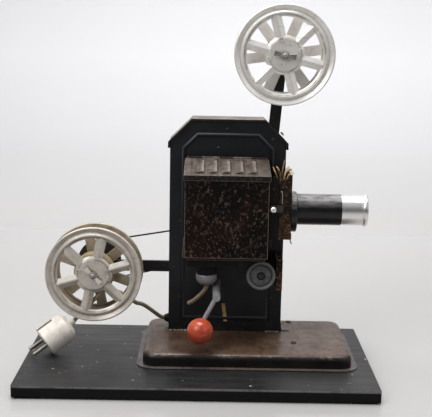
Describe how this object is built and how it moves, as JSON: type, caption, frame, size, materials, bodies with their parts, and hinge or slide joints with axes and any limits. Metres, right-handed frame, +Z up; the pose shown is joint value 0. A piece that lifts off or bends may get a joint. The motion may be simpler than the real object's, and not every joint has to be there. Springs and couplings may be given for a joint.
{
  "type": "film projector",
  "caption": "Hand-cranked tin film projector on a wooden board, with spoked reels on arms, a louvred lamp house, a hinged lens gate, a ball-knob crank and a mains lead wound on the lower reel.",
  "frame": {"origin": "middle of the board's footprint, on the surface it stands on", "axes": "+X the way the lens looks, +Y away from the crank side, +Z up"},
  "size_m": [0.4, 0.214, 0.4235],
  "materials": {
    "board_wood": "dark stained board, matte, worn edges",
    "felt": "pressed felt",
    "base_paint": "brown paint, rusty, semi-matte",
    "column_paint": "blue-black paint, satin",
    "hood_paint": "black paint worn bright on its edge",
    "lamp_paint": "brown-black paint with rust specks",
    "roof_paint": "heat-faded grey-brown paint",
    "gate_paint": "black paint, worn",
    "gate_rust": "paint gone to brown rust",
    "arm_paint": "black enamel",
    "dark_steel": "tarnished steel",
    "zinc": "dull zinc-plated steel",
    "pin_steel": "nickel-plated",
    "chrome": "polished plating",
    "brass": "dull brass",
    "reel_aluminium": "dirty pressed aluminium",
    "lens_black": "satin black lacquer",
    "glass": "clear",
    "black_plastic": "moulded, matte",
    "fibre": "tan fibre strip",
    "red_knob": "orange-red, scuffed",
    "cream_plastic": "cream moulded plastic",
    "rubber": "aged rubber",
    "cord_cloth": "tan braided sleeve"
  },
  "bodies": {
    "projector": {"board": "board_wood", "board_feet": "felt", "tin_base": "base_paint", "base_screws": "dark_steel", "housing_shell": "column_paint", "front_panel": "column_paint", "hood": "hood_paint", "bearing_plate": "dark_steel", "pillars": "zinc", "frame_screws": "dark_steel", "bearing_bushes": "brass", "lamp_house": "lamp_paint", "hinge_pins": "zinc", "lamp_holder": "black_plastic", "lamp_socket": "zinc", "lamp_bulb": "glass", "bulb_cap": "brass", "condenser_lens": "glass", "gate_frame": "gate_paint", "film_track": "fibre", "film_shoe": "gate_rust", "upper_arm": "arm_paint", "lower_arm": "arm_paint", "supply_spindle": "zinc", "drive_belt": "rubber", "lamp_lead": "cord_cloth", "cord_grommet": "rubber", "cord_stretch": "cord_cloth", "cord_winding": "cord_cloth", "cord_tail": "cord_cloth", "plug_body": "cream_plastic", "plug_pins": "pin_steel"},
    "lid": {"lamp_lid": "roof_paint"},
    "door": {"gate_door": "gate_rust", "lens_collar": "lens_black"},
    "lens": {"lens_barrel": "lens_black", "lens_ring": "chrome", "lens_glasses": "glass"},
    "latch": {"gate_latch": "dark_steel", "latch_knob": "chrome"},
    "presser": {"presser_arm": "zinc"},
    "supply_reel": {"supply_front_flange": "reel_aluminium", "supply_rear_flange": "reel_aluminium", "supply_core": "reel_aluminium"},
    "supply_bar": {"supply_keeper": "zinc"},
    "takeup_reel": {"takeup_front_flange": "reel_aluminium", "takeup_rear_flange": "reel_aluminium", "takeup_core": "reel_aluminium", "takeup_spindle": "zinc", "takeup_pulley": "dark_steel"},
    "takeup_bar": {"takeup_keeper": "zinc"},
    "crank": {"crank_shaft": "zinc", "crank_arm": "zinc", "crank_gear": "brass"},
    "knob": {"crank_knob": "red_knob"},
    "driver": {"star_driver": "zinc"},
    "sprocket": {"star_wheel": "zinc", "film_sprocket": "zinc"},
    "belt_shaft": {"belt_gear": "brass", "drive_pulley": "dark_steel"}
  },
  "joints": [
    {"name": "crank_turn", "type": "hinge", "parent": "projector", "child": "crank", "pos_m": [0.0205, 0.042, 0.093], "axis": [0, -1, 0], "continuous": true},
    {"name": "knob_spin", "type": "hinge", "parent": "crank", "child": "knob", "pos_m": [0.00257, -0.0413, 0.05781], "axis": [0, -1, 0], "continuous": true},
    {"name": "driver_turn", "type": "hinge", "parent": "projector", "child": "driver", "pos_m": [0.04753, 0.042, 0.10293], "axis": [0, -1, 0], "continuous": true},
    {"name": "sprocket_turn", "type": "hinge", "parent": "projector", "child": "sprocket", "pos_m": [0.0722, 0.042, 0.112], "axis": [0, -1, 0], "continuous": true},
    {"name": "belt_shaft_turn", "type": "hinge", "parent": "projector", "child": "belt_shaft", "pos_m": [0.00859, 0.042, 0.13743], "axis": [0, -1, 0], "continuous": true},
    {"name": "takeup_turn", "type": "hinge", "parent": "projector", "child": "takeup_reel", "pos_m": [-0.123, 0.042, 0.111], "axis": [0, -1, 0], "continuous": true},
    {"name": "takeup_bar_turn", "type": "hinge", "parent": "takeup_reel", "child": "takeup_bar", "pos_m": [-0.123, -0.006, 0.111], "axis": [0, -1, 0], "range_deg": [0, 90]},
    {"name": "supply_turn", "type": "hinge", "parent": "projector", "child": "supply_reel", "pos_m": [0.0917, 0.042, 0.3673], "axis": [0, -1, 0], "continuous": true},
    {"name": "supply_bar_turn", "type": "hinge", "parent": "projector", "child": "supply_bar", "pos_m": [0.0917, -0.006, 0.3673], "axis": [0, -1, 0], "range_deg": [0, 90]},
    {"name": "lid_open", "type": "hinge", "parent": "projector", "child": "lid", "pos_m": [0.03, 0.0386, 0.24452], "axis": [-1, 0, 0], "range_deg": [0, 75]},
    {"name": "gate_open", "type": "hinge", "parent": "projector", "child": "door", "pos_m": [0.1036, 0.0394, 0.19], "axis": [0, 0, 1], "range_deg": [0, 60]},
    {"name": "focus_slide", "type": "slide", "parent": "door", "child": "lens", "axis": [1, 0, 0], "range_m": [-0.006, 0.01]},
    {"name": "latch_turn", "type": "hinge", "parent": "projector", "child": "latch", "pos_m": [0.083, -0.009, 0.1945], "axis": [0, -1, 0], "range_deg": [0, 90]},
    {"name": "presser_lift", "type": "hinge", "parent": "projector", "child": "presser", "pos_m": [0.0635, 0.042, 0.131], "axis": [0, -1, 0], "range_deg": [0, 18], "stiffness_Nm_per_rad": 0.02}
  ],
  "couplings": [
    {"joint": "driver_turn", "follows": "crank_turn", "ratio": -5},
    {"joint": "sprocket_turn", "follows": "crank_turn", "ratio": 0.83333},
    {"joint": "belt_shaft_turn", "follows": "crank_turn", "ratio": -1.0909},
    {"joint": "takeup_turn", "follows": "crank_turn", "ratio": -0.93506}
  ]
}
